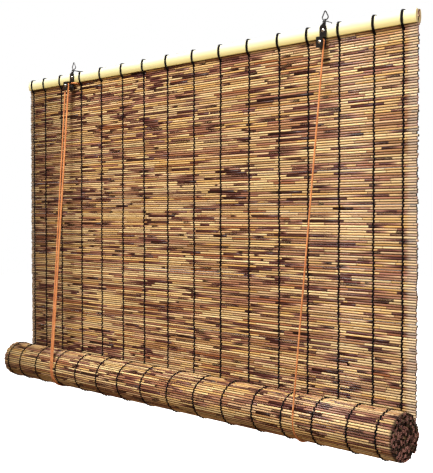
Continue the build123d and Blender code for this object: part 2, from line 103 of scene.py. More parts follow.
class Graph:
    """The node graph of a new material or world, with short calls that add nodes and join them."""

    def __init__(self, name: str, world: bool = False) -> None:
        """Start a graph with the shader that Blender gives it.

        Args:
            name: The name of the material or world.
            world: Whether it is a world.
        """
        self.owner = (bpy.data.worlds if world else bpy.data.materials).new(name)
        self.owner.use_nodes = True
        self.nodes = self.owner.node_tree.nodes
        self.links = self.owner.node_tree.links
        self.shader = self.nodes["Background" if world else "Principled BSDF"]

    def put(self, socket: Socket, value: Value) -> None:
        """Set a socket to a number or colour, or link it.

        Args:
            socket: The input to feed.
            value: A number, a colour or another node's output.
        """
        if isinstance(value, Socket):
            self.links.new(value, socket)
        else:
            socket.default_value = value

    def node(self, kind: str, inputs: Optional[Inputs] = None, **settings: object) -> bpy.types.Node:
        """Add a node.

        Args:
            kind: The node's type name.
            inputs: Values for its inputs, by name or number.
            **settings: Values for its own properties.

        Returns:
            The new node.
        """
        made = self.nodes.new(kind)
        for key, value in settings.items():
            setattr(made, key, value)
        for key, value in (inputs or {}).items():
            self.put(made.inputs[key], value)
        return made

    def math(self, operation: str, *values: Value) -> Socket:
        """Return the result of a Math node with one, two or three inputs."""
        return self.node("ShaderNodeMath", dict(enumerate(values)), operation=operation).outputs[0]

    def rise(self, value: Value, low: Value, high: Value) -> Socket:
        """Return a smooth step from 0 where the value is low to 1 where it is high."""
        inputs = {"Value": value, "From Min": low, "From Max": high}
        return self.node("ShaderNodeMapRange", inputs, interpolation_type="SMOOTHSTEP").outputs["Result"]

    def mix(self, share: Value, first: Value, second: Value, blend: str = "MIX") -> Socket:
        """Return two colours mixed, with a share of the second one."""
        inputs = {0: share, 6: first, 7: second}
        return self.node("ShaderNodeMix", inputs, data_type="RGBA", blend_type=blend).outputs[2]

    def ramp(self, share: Value, stops: Sequence[Tuple[float, Colour]]) -> Socket:
        """Return a colour from a ramp.

        Args:
            share: The place on the ramp, from 0 to 1.
            stops: Places and colours, in order.

        Returns:
            The colour at that place.
        """
        made = self.node("ShaderNodeValToRGB", {"Fac": share})
        elements = made.color_ramp.elements
        while len(elements) < len(stops):
            elements.new(1.0)
        for element, (place, colour) in zip(elements, stops):
            element.position = place
            element.color = colour
        return made.outputs["Color"]

    def attribute(self, name: str) -> Socket:
        """Return the value of one of the piece's own attributes."""
        return self.node("ShaderNodeAttribute", attribute_name=name).outputs["Fac"]

    def place(self) -> Tuple[Socket, Socket]:
        """Return the Object coordinates, whole and as an X output."""
        whole = self.node("ShaderNodeTexCoord").outputs["Object"]
        return whole, self.node("ShaderNodeSeparateXYZ", {0: whole}).outputs["X"]

    def stretched(self, place: Socket, scales: Sequence[float]) -> Socket:
        """Return coordinates scaled along each axis."""
        return self.node("ShaderNodeMapping", {"Vector": place, "Scale": scales}).outputs["Vector"]

    def noise(self, place: Socket, scale: float = 1.0, detail: float = 3.0) -> Socket:
        """Return a noise value, from 0 to 1."""
        return self.node("ShaderNodeTexNoise", {"Vector": place, "Scale": scale, "Detail": detail}).outputs[0]

    def chance(self, first: Value, second: Value = 0.0) -> Tuple[Socket, Socket, Socket]:
        """Return three chance values that depend on two numbers.

        Args:
            first: The first number.
            second: The second number.

        Returns:
            Three values from 0 to 1.
        """
        vector = self.node("ShaderNodeCombineXYZ", {"X": first, "Y": second}).outputs[0]
        noise = self.node("ShaderNodeTexWhiteNoise", {"Vector": vector}, noise_dimensions="2D")
        parts = self.node("ShaderNodeSeparateColor", {0: noise.outputs["Color"]}).outputs
        return parts[0], parts[1], parts[2]

    def bump(self, height: Socket, distance: float, strength: float = 1.0) -> None:
        """Raise the surface by a height value, as far as the distance where it is 1."""
        inputs = {"Strength": strength, "Distance": distance, "Height": height}
        self.put(self.shader.inputs["Normal"], self.node("ShaderNodeBump", inputs).outputs["Normal"])

    def finish(self, **inputs: Value) -> Union[Material, bpy.types.World]:
        """Feed the shader's inputs.

        Args:
            **inputs: Values by input name, with _ for a space.

        Returns:
            The finished material or world.
        """
        for key, value in inputs.items():
            self.put(self.shader.inputs[key.replace("_", " ")], value)
        return self.owner


@dataclass(frozen=True)
class ReedFinish:
    """Reed skin: straw to tan stretches between nodes, and dark leaf sheaths that fade out along the reed."""

    name: str
    half_width: float
    # reaches past the half width where painted shade darkens the reeds next to the right end
    end_shade: Span
    bleach: Span
    straw: Colour = srgb(238, 208, 152)
    gold: Colour = srgb(214, 165, 94)
    peach: Colour = srgb(222, 182, 138)
    tan: Colour = srgb(168, 120, 72)
    blush: Colour = srgb(168, 116, 94)
    rust: Colour = srgb(150, 88, 48)
    umber: Colour = srgb(52, 16, 8)
    plum: Colour = srgb(92, 46, 42)
    node_mark: Colour = srgb(44, 20, 10)
    # near-black of the painted shade between reeds and next to the roll's right end
    shade_tone: Colour = srgb(24, 8, 3)
    bleached: Colour = srgb(232, 214, 188)
    # how strongly painted shade darkens the reeds next to the right end
    end_shade_share: float = 0.9
    bleach_share: float = 0.42
    # how strongly, and over which part of the reed_valley attribute, painted shade darkens the reeds where
    # they meet
    valley_shade_share: float = 0.97
    valley_shade_span: Span = (0.42, 0.86)
    internodes: Span = (0.05, 0.17)
    seed_strides: Span = (97.0, 57.0)
    cell_shift: float = 31.0
    streak_scale: Triple = (14.0, 900.0, 900.0)
    node_ring: Span = (0.0006, 0.0022)
    ring_share: float = 0.75
    drift_scale: Triple = (2.6, 9.0, 9.0)
    sheath_drift: float = 1.5
    sheath_span: Span = (0.5, 0.64)
    sheath_cover: Span = (0.15, 1.0)
    sheath_fade: float = 0.6
    relief: float = 0.0005

    def build(self) -> Material:
        """Build the material.

        Returns:
            The reed material.
        """
        graph = Graph(self.name)
        place, along = graph.place()
        seed = graph.attribute("reed_seed")
        sleeve = graph.attribute("reed_sheath")
        reed_stride, cell_stride = self.seed_strides
        turn, length, shift = graph.chance(graph.math("MULTIPLY", seed, reed_stride))
        shortest, longest = self.internodes
        internode = graph.math("MULTIPLY_ADD", length, longest - shortest, shortest)
        way = graph.math("SIGN", graph.math("SUBTRACT", turn, 0.5))
        steps = graph.math("DIVIDE", graph.math("MULTIPLY", along, way), internode)
        steps = graph.math("MULTIPLY_ADD", shift, self.cell_shift, steps)
        cell = graph.math("FLOOR", steps)
        inside = graph.math("FRACT", steps)
        sort, reach, tint = graph.chance(cell, graph.math("MULTIPLY", seed, cell_stride))

        # Sheaths gather in some parts of the mat and are rare in others
        drift = graph.noise(graph.stretched(place, self.drift_scale), detail=2.0)
        drift = graph.math("MULTIPLY", graph.math("SUBTRACT", drift, 0.5), self.sheath_drift)
        present = graph.rise(graph.math("ADD", sort, drift), *self.sheath_span)
        least, most = self.sheath_cover
        cover = graph.math("MULTIPLY_ADD", reach, most - least, least)
        fade = graph.math("SUBTRACT", 1.0, graph.math("DIVIDE", inside, cover))
        fade = graph.math("MAXIMUM", fade, 0.0)
        dark = graph.math("MULTIPLY", present, graph.math("POWER", fade, self.sheath_fade))
        dark = graph.math("MAXIMUM", dark, sleeve)

        skin = graph.ramp(
            tint,
            (
                (0.0, self.straw),
                (0.22, self.gold),
                (0.42, self.straw),
                (0.6, self.peach),
                (0.76, self.tan),
                (0.88, self.blush),
                (1.0, self.rust),
            ),
        )
        streak = graph.noise(graph.stretched(place, self.streak_scale), detail=4.0)
        skin = graph.mix(graph.rise(dark, 0.02, 0.5), skin, self.blush)
        sheath = graph.mix(graph.rise(reach, 0.3, 0.7), self.umber, self.plum)
        skin = graph.mix(graph.rise(dark, 0.3, 0.75), skin, sheath)
        from_node = graph.math("MULTIPLY", inside, internode)
        ring = graph.math("SUBTRACT", 1.0, graph.rise(from_node, *self.node_ring))
        skin = graph.mix(graph.math("MULTIPLY", ring, self.ring_share), skin, self.node_mark)
        tone = graph.math("MULTIPLY_ADD", streak, 0.9, 0.5)
        tone = graph.math("MULTIPLY", tone, graph.math("MULTIPLY_ADD", turn, 0.4, 0.78))
        grey = graph.node("ShaderNodeCombineColor", {0: tone, 1: tone, 2: tone}).outputs[0]
        skin = graph.mix(1.0, skin, grey, "MULTIPLY")

        # The hanging reeds' ends are bleached
        bleach_from, bleach_to = (self.half_width + reach for reach in self.bleach)
        bleach = graph.rise(graph.math("ABSOLUTE", along), bleach_from, bleach_to)
        skin = graph.mix(graph.math("MULTIPLY", bleach, self.bleach_share), skin, self.bleached)

        # Painted shade darkens each reed where it meets its neighbours, and painted shade darkens the rolled
        # reeds next to the roll's right end
        valley = graph.rise(graph.attribute("reed_valley"), *self.valley_shade_span)
        painted_shade = graph.math("MULTIPLY", valley, self.valley_shade_share)
        # painted shade on the rolled reeds next to the roll's right end
        end_shade_from, end_shade_to = (self.half_width + reach for reach in self.end_shade)
        end_shade = graph.math("MULTIPLY", graph.rise(along, end_shade_from, end_shade_to), self.end_shade_share)
        painted_shade = graph.math("MAXIMUM", painted_shade, end_shade)
        skin = graph.mix(painted_shade, skin, self.shade_tone)

        height = graph.math("MULTIPLY_ADD", ring, 0.8, graph.math("MULTIPLY", streak, 0.25))
        graph.bump(height, self.relief)
        rough = graph.math("MULTIPLY_ADD", streak, 0.25, 0.28)
        rough = graph.math("MULTIPLY_ADD", painted_shade, 0.4, rough)
        return graph.finish(
            Base_Color=skin, Roughness=rough, Specular_IOR_Level=0.24, Coat_Weight=0.16, Coat_Roughness=0.26
        )


@dataclass(frozen=True)
class CutEndFinish:
    """The sawn end of a reed: a ring of wall, or the hollow inside it, whose near-black is painted shade."""

    name: str
    light: Colour
    dark: Colour

    def build(self) -> Material:
        """Build the material.

        Returns:
            The cut end material.
        """
        graph = Graph(self.name)
        place, _ = graph.place()
        seed = graph.attribute("reed_seed")
        grain = graph.noise(place, 900.0)
        share = graph.math("MULTIPLY_ADD", seed, 0.8, graph.math("MULTIPLY", grain, 0.2))
        colour = graph.mix(graph.rise(share, 0.42, 0.78), self.dark, self.light)
        graph.bump(grain, 0.0004)
        return graph.finish(Base_Color=colour, Roughness=0.8, Specular_IOR_Level=0.1)


@dataclass(frozen=True)
class SplitBambooFinish:
    """The head's split bamboo: pale satin skin, painted darker and yellower towards its lower edge as painted
    shade and near-white towards its top as a painted highlight, with cream sawn ends.
    """

    low_z: float
    high_z: float
    end_x: float
    # colours of the painted shade at the lower edge, the middle, and the painted highlight at the top
    lower: Colour = srgb(224, 210, 138)
    middle: Colour = srgb(238, 233, 184)
    upper: Colour = srgb(250, 250, 226)
    fibre: Colour = srgb(206, 190, 116)
    sawn: Colour = srgb(236, 218, 166)
    sawn_depths: Span = (0.0012, 0.0004)
    wander_scale: Triple = (5.0, 60.0, 60.0)
    fibre_scale: Triple = (7.0, 1500.0, 1500.0)
    blotch_scale: Triple = (9.0, 40.0, 40.0)

    def build(self) -> Material:
        """Build the material.

        Returns:
            The split bamboo material.
        """
        graph = Graph("split_bamboo")
        place, along = graph.place()
        # Painted light: the colour runs from yellower painted shade at the lower edge to a near-white painted
        # highlight at the top
        height = graph.node("ShaderNodeSeparateXYZ", {0: place}).outputs["Z"]
        wander = graph.noise(graph.stretched(place, self.wander_scale), detail=2.0)
        share = graph.node(
            "ShaderNodeMapRange", {"Value": height, "From Min": self.low_z, "From Max": self.high_z}
        ).outputs["Result"]
        share = graph.math("ADD", share, graph.math("MULTIPLY_ADD", wander, 0.4, -0.2))
        colour = graph.ramp(share, ((0.05, self.lower), (0.5, self.middle), (0.9, self.upper)))
        fibres = graph.noise(graph.stretched(place, self.fibre_scale), detail=4.0)
        colour = graph.mix(graph.math("MULTIPLY", graph.rise(fibres, 0.52, 0.75), 0.45), colour, self.fibre)
        blotch = graph.noise(graph.stretched(place, self.blotch_scale), detail=3.0)
        colour = graph.mix(graph.math("MULTIPLY", graph.rise(blotch, 0.55, 0.8), 0.3), colour, self.lower)
        sawn_from, sawn_to = (self.end_x - depth for depth in self.sawn_depths)
        end = graph.rise(graph.math("ABSOLUTE", along), sawn_from, sawn_to)
        colour = graph.mix(end, colour, self.sawn)
        graph.bump(fibres, 0.0002, 0.5)
        rough = graph.math("MULTIPLY_ADD", end, 0.4, graph.math("MULTIPLY_ADD", fibres, 0.2, 0.28))
        return graph.finish(Base_Color=colour, Roughness=rough, Coat_Weight=0.15, Coat_Roughness=0.25)


@dataclass(frozen=True)
class YarnFinish:
    """Spun yarn: two near colours, with fine fibres across its surface."""

    name: str
    light: Colour
    dark: Colour
    sheen: float
    fibre_scale: Triple = (2600.0, 2600.0, 700.0)

    def build(self) -> Material:
        """Build the material.

        Returns:
            The yarn material.
        """
        graph = Graph(self.name)
        place, _ = graph.place()
        fibres = graph.noise(graph.stretched(place, self.fibre_scale), detail=3.0)
        drift = graph.noise(place, 40.0, 2.0)
        share = graph.math("MULTIPLY_ADD", fibres, 0.7, graph.math("MULTIPLY", drift, 0.5))
        colour = graph.mix(graph.rise(share, 0.35, 0.85), self.dark, self.light)
        graph.bump(fibres, 0.0003)
        return graph.finish(
            Base_Color=colour,
            Roughness=0.78,
            Specular_IOR_Level=0.12,
            Sheen_Weight=self.sheen,
            Sheen_Roughness=0.4,
        )


@dataclass(frozen=True)
class MetalFinish:
    """Sheet or wire metal, with fine marks in its gloss."""

    name: str
    base: Colour
    worn: Colour
    metallic: float
    smooth: float
    rough: float
    coat: float = 0.0

    def build(self) -> Material:
        """Build the material.

        Returns:
            The metal material.
        """
        graph = Graph(self.name)
        place, _ = graph.place()
        marks = graph.noise(place, 900.0, 5.0)
        patches = graph.noise(place, 160.0, 3.0)
        colour = graph.mix(graph.rise(patches, 0.55, 0.8), self.base, self.worn)
        gloss = graph.math("MULTIPLY_ADD", marks, self.rough - self.smooth, self.smooth)
        graph.bump(marks, 0.00015, 0.4)
        return graph.finish(Base_Color=colour, Roughness=gloss, Metallic=self.metallic, Coat_Weight=self.coat)


@dataclass(frozen=True)
class MouldedFinish:
    """Moulded plastic, with faint flow marks."""

    name: str
    base: Colour
    shade: Colour

    def build(self) -> Material:
        """Build the material.

        Returns:
            The plastic material.
        """
        graph = Graph(self.name)
        place, _ = graph.place()
        flow = graph.noise(place, 220.0, 3.0)
        colour = graph.mix(flow, self.base, self.shade)
        graph.bump(graph.noise(place, 1500.0, 2.0), 0.0001, 0.4)
        rough = graph.math("MULTIPLY_ADD", flow, 0.2, 0.36)
        return graph.finish(Base_Color=colour, Roughness=rough)


class Side(Enum):
    """A side of the blind, seen from the front."""

    LEFT = "left"
    RIGHT = "right"


class Band(Enum):
    """A part of the hanging mat: what stays when the roll is right up, and what the roll takes up."""

    UPPER = "upper"
    LOWER = "lower"


@dataclass(frozen=True)
class Layout:
    """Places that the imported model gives."""

    half_width: float
    mat_y: float
    mat_top: float
    head_top: float
    head_bottom: float
    head_front_y: float
    head_back_y: float
    roll_y: float
    roll_z: float
    roll_half_width: float
    lift: float

    @classmethod
    def from_frame(cls) -> "Layout":
        """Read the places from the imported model's boxes and joints.

        Returns:
            The places.
        """
        joints = {joint["name"]: joint for joint in frame["joints"]}
        mat_low, mat_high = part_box("hanging_mat")
        front_low, front_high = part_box("head_slat_front")
        roll_place = joints["roll_turn"]["pos_m"]
        return cls(
            half_width=mat_high.x,
            mat_y=(mat_low.y + mat_high.y) / 2,
            mat_top=mat_high.z,
            head_top=front_high.z,
            head_bottom=front_low.z,
            head_front_y=front_low.y,
            head_back_y=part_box("head_slat_back")[1].y,
            roll_y=roll_place[1],
            roll_z=roll_place[2],
            roll_half_width=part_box("rolled_mat")[1].x,
            lift=joints["roll_lift"]["range_m"][1],
        )

    @property
    def split_z(self) -> float:
        """The height where the mat meets the roll when the roll is right up."""
        return self.roll_z + self.lift

    def take_up(self, piece: Piece, top: float, height: float) -> None:
        """Give a piece that hangs by its top a mesh of its own."""
        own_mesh(piece)


def linked(name: str, data: bpy.types.ID) -> Piece:
    """Make an object and link it to the scene.

    Args:
        name: The object's name.
        data: Its mesh, light or camera.

    Returns:
        The new object.
    """
    made = bpy.data.objects.new(name, data)
    bpy.context.scene.collection.objects.link(made)
    return made


def add_piece(
    name: str, mesh: Mesh, materials: Iterable[Material], body: str, nodes: Iterable[str]
) -> Piece:
    """Add a finished mesh to the scene as a piece that stands for CAD nodes.

    Args:
        name: The piece's name.
        mesh: Its mesh, in place.
        materials: Its materials, in slot order.
        body: The CAD body that it rides on.
        nodes: The CAD nodes that it stands for.

    Returns:
        The new object.
    """
    piece = linked(name, mesh)
    for material in materials:
        mesh.materials.append(material)
    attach(piece, body)
    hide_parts(*nodes)
    LOG.info("%s: %d faces on %s", name, len(mesh.polygons), body)
    return piece


def mesh_from(shape: bmesh.types.BMesh, name: str) -> Mesh:
    """Turn a bmesh into a mesh and free it.

    Args:
        shape: The bmesh.
        name: The mesh's name.

    Returns:
        The mesh.
    """
    mesh = bpy.data.meshes.new(name)
    shape.to_mesh(mesh)
    shape.free()
    return mesh


def run_length(points: Sequence[Vector]) -> float:
    """Return the length of a line through points."""
    return sum((after - before).length for before, after in zip(points, points[1:]))


def spline_mesh(name: str, lines: Iterable[Sequence[Vector]], steps: int, radius: float = 0.0) -> Mesh:
    """Make a mesh from NURBS splines.

    Args:
        name: The mesh's name.
        lines: The control points of each spline.
        steps: How many steps each of their spans has.
        radius: The radius of the tubes along them, or 0 for bare lines.

    Returns:
        The mesh.
    """
    curve = bpy.data.curves.new(name, "CURVE")
    curve.dimensions = "3D"
    curve.bevel_depth = radius
    curve.bevel_resolution = 1
    curve.use_fill_caps = True
    for line in lines:
        spline = curve.splines.new("NURBS")
        spline.points.add(len(line) - 1)
        for point, place in zip(spline.points, line):
            point.co = (*place, 1.0)
        spline.order_u = 3
        spline.use_endpoint_u = True
        spline.resolution_u = steps
    carrier = bpy.data.objects.new(name, curve)
    mesh = bpy.data.meshes.new_from_object(carrier)
    bpy.data.objects.remove(carrier)
    bpy.data.curves.remove(curve)
    return mesh


@dataclass
class ReedStock:
    """Hollow reeds, sawn to length, that the mat is bound from."""

    blind_width: float
    radius: float = 0.0022
    wall: float = 0.001
    sides: int = 8
    bend_cuts: int = 3
    bore_depth: float = 0.004
    bore_taper: float = 0.000125
    thickness: Span = (1.1, 1.19)
    waves: Span = (0.6, 1.8)
    sheath_rise: float = 0.00022
    sheath_tip: float = 0.985
    sheath_counts: Sequence[int] = (0, 1, 1, 2, 2)
    sheath_lengths: Span = (0.03, 0.11)
    sheath_shades: Span = (0.4, 0.95)
    # where painted shade darkens the rolled reeds next to the roll's right end
    bleached_ends: Span = (-0.024, -0.012)
    shaded_end: Span = (-0.004, 0.003)
    past_ends: Span = (0.05, 0.06)
    chance: random.Random = field(default_factory=lambda: random.Random(411))

    def __post_init__(self) -> None:
        """Make the reed and the sheath that all others are copied from."""
        self.reed = self._cane(self.bend_cuts)
        self.buried_reed = self._cane(0)
        self.sheath = self._sleeve()
        ends = [
            CutEndFinish("reed_wall_end", srgb(212, 156, 148), srgb(22, 8, 7)).build(),
            # The hollow inside each reed is painted near-black: painted shade inside the bore
            CutEndFinish("reed_hollow_end", srgb(14, 6, 5), srgb(5, 2, 2)).build(),
        ]
        half = self.blind_width / 2
        hanging = ReedFinish("reed_skin", half, self.past_ends, self.bleached_ends)
        rolled = ReedFinish("rolled_reed_skin", half, self.shaded_end, self.past_ends)
        self.hanging_finish = [hanging.build(), *ends]
        self.rolled_finish = [rolled.build(), *ends]

    def _rod(self, lower: float, upper: float) -> bmesh.types.BMesh:
        """Start a capped rod of unit length along X.

        Args:
            lower: The radius at its first end.
            upper: The radius at its other end.

        Returns:
            The rod, with smooth sides and flat caps.
        """
        shape = bmesh.new()
        bmesh.ops.create_cone(
            shape, cap_ends=True, segments=self.sides, radius1=lower, radius2=upper, depth=1.0
        )
        along_x = Matrix.Rotation(math.pi / 2, 3, "Y")
        bmesh.ops.rotate(shape, verts=shape.verts, cent=(0, 0, 0), matrix=along_x)
        for face in shape.faces:
            face.smooth = abs(face.normal.x) < CAP_NORMAL
        return shape

    def _cane(self, cuts: int) -> Mesh:
        """Make one reed of unit length along X, with hollow ends.

        Args:
            cuts: How many rings divide its length, for bending it.

        Returns:
            The reed's mesh.
        """
        shape = self._rod(self.radius, self.radius)
        caps = [face for face in shape.faces if not face.smooth]
        if cuts:
            long_edges = [edge for edge in shape.edges if edge.calc_length() > 2 * self.radius]
            bmesh.ops.subdivide_edges(shape, edges=long_edges, cuts=cuts, use_grid_fill=True)
        rims = bmesh.ops.inset_individual(shape, faces=caps, thickness=self.wall, use_even_offset=True)
        for face in rims["faces"]:
            face.material_index = 1
        hollows = bmesh.ops.inset_individual(
            shape, faces=caps, thickness=self.bore_taper, depth=-self.bore_depth, use_even_offset=True
        )
        for face in [*hollows["faces"], *caps]:
            face.material_index = 2
        return mesh_from(shape, "reed_stock")

    def _sleeve(self) -> Mesh:
        """Make one leaf sheath of unit length along X, thicker at its lower end."""
        shape = self._rod(self.radius + self.sheath_rise, self.radius * self.sheath_tip)
        return mesh_from(shape, "sheath_stock")

    def start(self) -> bmesh.types.BMesh:
        """Start a bmesh with the layers that the reed finish reads.

        Returns:
            The empty bmesh.
        """
        shape = bmesh.new()
        for layer in REED_LAYERS:
            shape.verts.layers.float.new(layer)
        return shape

    def lay(
        self,
        shape: bmesh.types.BMesh,
        half_length: float,
        ragged: float,
        middle: Vector,
        outwards: Vector,
        bow: Vector,
        buried: bool = False,
    ) -> None:
        """Lay one reed, with its sheaths, into a bmesh.

        Args:
            shape: The bmesh to add to.
            half_length: Half the reed's usual length.
            ragged: How far its ends may stand out or fall short.
            middle: The middle of the reed.
            outwards: The direction from the mat's middle to its face.
            bow: How far its middle is bowed off the straight line.
            buried: Whether only its ends can be seen.
        """
        chance = self.chance
        seed = chance.random()
        low = -half_length + chance.uniform(-1, 1) * ragged
        high = half_length + chance.uniform(-1, 1) * ragged
        thick = chance.uniform(*self.thickness)
        roll = chance.uniform(0, math.tau)
        waves = chance.uniform(*self.waves)
        phase = chance.uniform(0, math.tau)
        pieces = [(self.buried_reed if buried else self.reed, low, high, 0.0)]
        for _ in range(0 if buried else chance.choice(self.sheath_counts)):
            start = chance.uniform(low, high - self.sheath_lengths[1])
            end = start + chance.uniform(*self.sheath_lengths)
            ends = chance.choice(((start, end), (end, start)))
            pieces.append((self.sheath, *ends, chance.uniform(*self.sheath_shades)))
        seeds, valleys, sheaths = (shape.verts.layers.float[layer] for layer in REED_LAYERS)
        along_mat = Vector((1, 0, 0)).cross(outwards)
        turn = Matrix.Rotation(roll, 3, "X")
        for stock, start, end, dark in pieces:
            before = len(shape.verts)
            shape.from_mesh(stock)
            shape.verts.ensure_lookup_table()
            for vert in shape.verts[before:]:
                place = turn @ vert.co
                along = (start + end) / 2 + place.x * (end - start)
                lean = math.sin(phase + waves * math.pi * along / half_length)
                vert.co = middle + Vector((along, place.y * thick, place.z * thick)) + bow * lean
                vert[seeds] = seed
                vert[sheaths] = dark
                vert[valleys] = abs(place.dot(along_mat)) / self.radius


@dataclass
class HangingReeds:
    """The hanging part of the mat, reed by reed."""

    layout: Layout
    stock: ReedStock
    pitch: float = 0.0048
    count: int = 157
    ragged: float = 0.0017
    bow: Span = (0.00035, 0.00018)

    def height(self, number: int) -> float:
        """Return the height of a reed's middle, counted from the top."""
        return self.layout.mat_top - (number + 0.5) * self.pitch

    def band(self, number: int) -> Band:
        """Return the band that a reed belongs to."""
        return Band.UPPER if self.height(number) > self.layout.split_z else Band.LOWER

    def build(self) -> None:
        """Lay the reeds of both bands, and give the lower band's piece a mesh of its own."""
        chance = self.stock.chance
        for band in Band:
            shape = self.stock.start()
            for number in filter(lambda reed: self.band(reed) is band, range(self.count)):
                middle = Vector((0, self.layout.mat_y, self.height(number)))
                bow = Vector((0, chance.uniform(-1, 1) * self.bow[0], chance.uniform(-1, 1) * self.bow[1]))
                self.stock.lay(shape, self.layout.half_width, self.ragged, middle, Vector((0, -1, 0)), bow)
            mesh = mesh_from(shape, f"reeds_{band.value}")
            piece = add_piece(mesh.name, mesh, self.stock.hanging_finish, "head", ["hanging_mat"])
            if band is Band.LOWER:
                self.layout.take_up(piece, self.layout.split_z, self.layout.lift)


@dataclass
class RolledReeds:
    """The rolled-up part of the mat, reed by reed along its spiral."""

    layout: Layout
    stock: ReedStock
    pitch: float = 0.0048
    outer_radius: float = 0.0443
    turn_pitch: float = 0.0049
    core_radius: float = 0.0055
    start_gap: float = 0.0003
    ragged: float = 0.0028
    bow: float = 0.00018
    seen_turns: float = 1.1

    def __post_init__(self) -> None:
        """Work out where the reeds lie along the spiral."""
        angle = math.asin(self.start_gap / self.outer_radius)
        self.angles: List[float] = []
        while self.radius(angle) > self.core_radius:
            step = self.pitch / self.radius(angle)
            self.angles.append(angle + step / 2)
            angle += step

    def radius(self, angle: float) -> float:
        """Return the spiral's radius at an angle from its outer end."""
        return self.outer_radius - self.turn_pitch * angle / math.tau

    def point(self, angle: float, rise: float = 0.0) -> Vector:
        """Find a point of the spiral at the blind's middle.

        Args:
            angle: The angle from the spiral's outer end.
            rise: How far the point is raised outwards.

        Returns:
            The point.
        """
        reach = self.radius(angle) + rise
        y = self.layout.roll_y + reach * math.cos(angle)
        return Vector((0, y, self.layout.roll_z - reach * math.sin(angle)))

    def build(self) -> None:
        """Lay the reeds along the spiral."""
        shape = self.stock.start()
        for angle in self.angles:
            outwards = Vector((0, math.cos(angle), -math.sin(angle)))
            bow = outwards * self.stock.chance.uniform(-1, 1) * self.bow
            buried = angle > math.tau * self.seen_turns
            self.stock.lay(
                shape, self.layout.roll_half_width, self.ragged, self.point(angle), outwards, bow, buried
            )
        mesh = mesh_from(shape, "reeds_rolled")
        add_piece(mesh.name, mesh, self.stock.rolled_finish, "roll", ["rolled_mat"])


